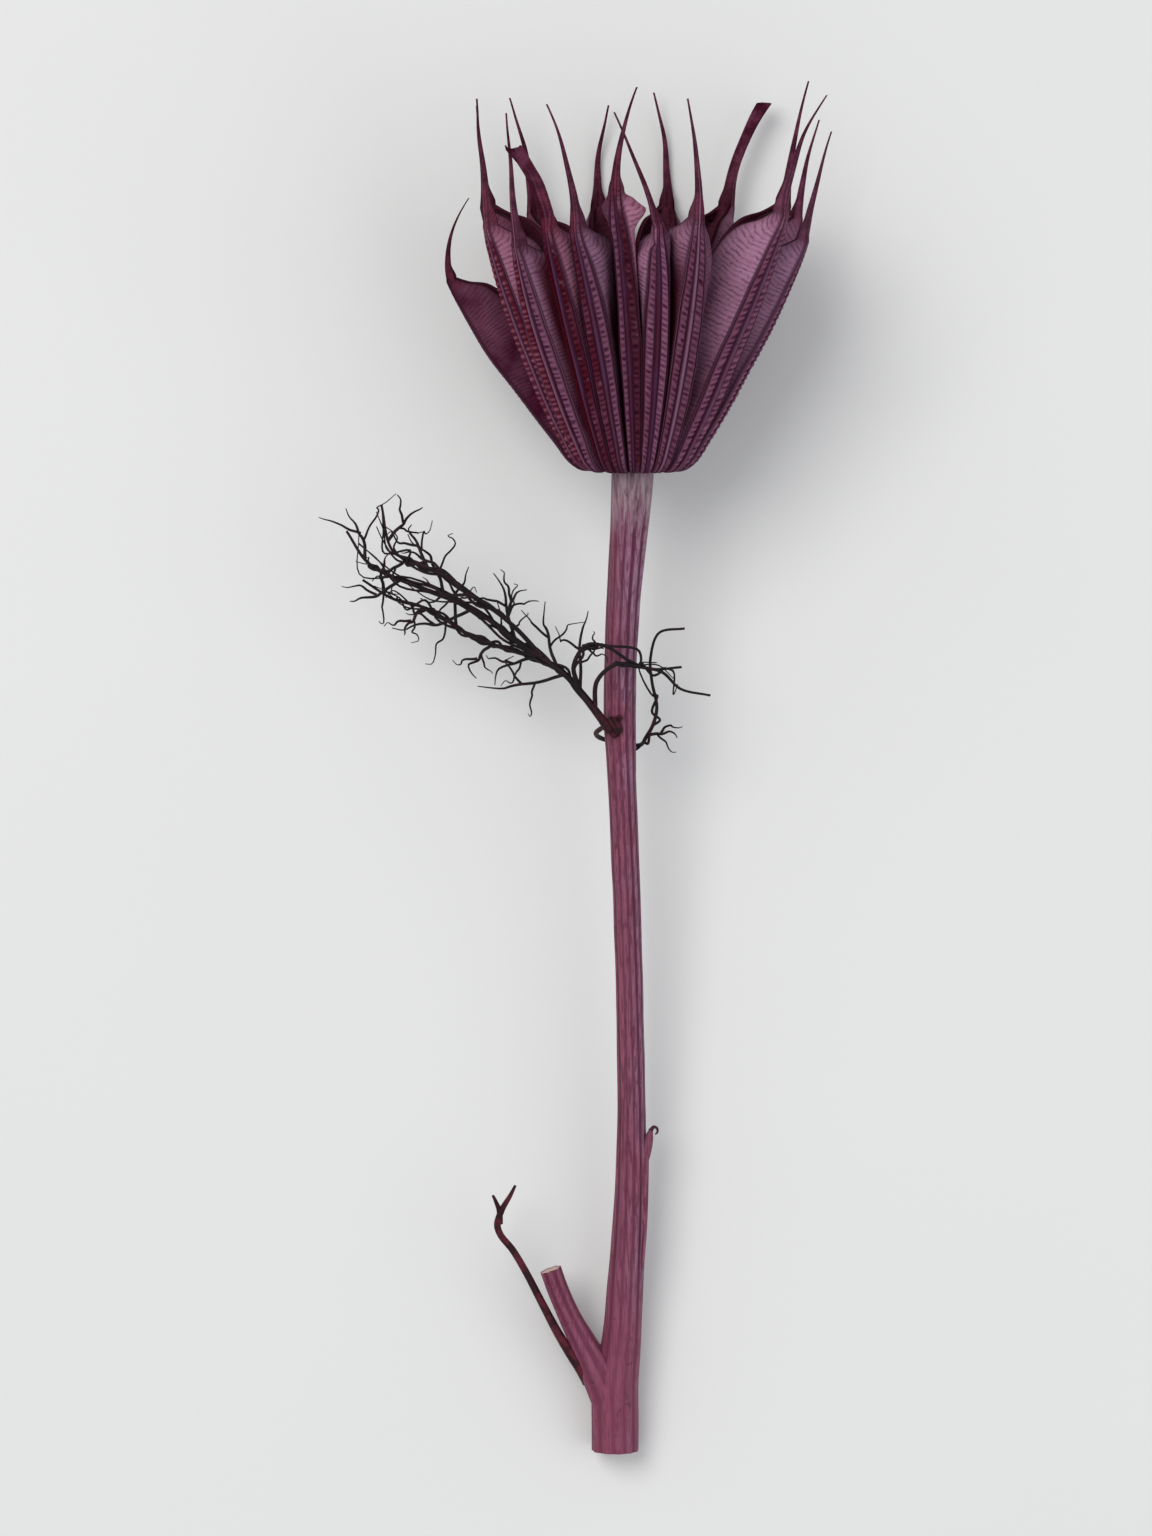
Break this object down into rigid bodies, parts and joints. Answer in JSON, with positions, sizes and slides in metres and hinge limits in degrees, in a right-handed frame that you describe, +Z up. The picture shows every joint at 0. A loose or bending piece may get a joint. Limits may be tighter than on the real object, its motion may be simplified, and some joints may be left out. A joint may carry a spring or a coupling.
{
  "type": "dried nigella seed pod",
  "caption": "Dried, dyed seed pod of nigella: a cup of ribbed, open follicles with long beaks, on a ribbed cut stem with thread-like leaves, lying on its side.",
  "frame": {"origin": "on the surface that the pod lies on, under the middle of its bounding box", "axes": "+Y along the stem towards the mouth of the pod and its beaks, +Z up from the surface, +X to the right of the stem seen from above"},
  "size_m": [0.048, 0.1296, 0.0351],
  "materials": {
    "seed_head": "satin",
    "stem": "satin",
    "dark_leaf": "satin",
    "red_leaf": "satin"
  },
  "bodies": {
    "root": {"seed_head": "seed_head", "stem": "stem", "upper_leaf": "dark_leaf", "fork_leaf": "red_leaf"}
  },
  "joints": []
}
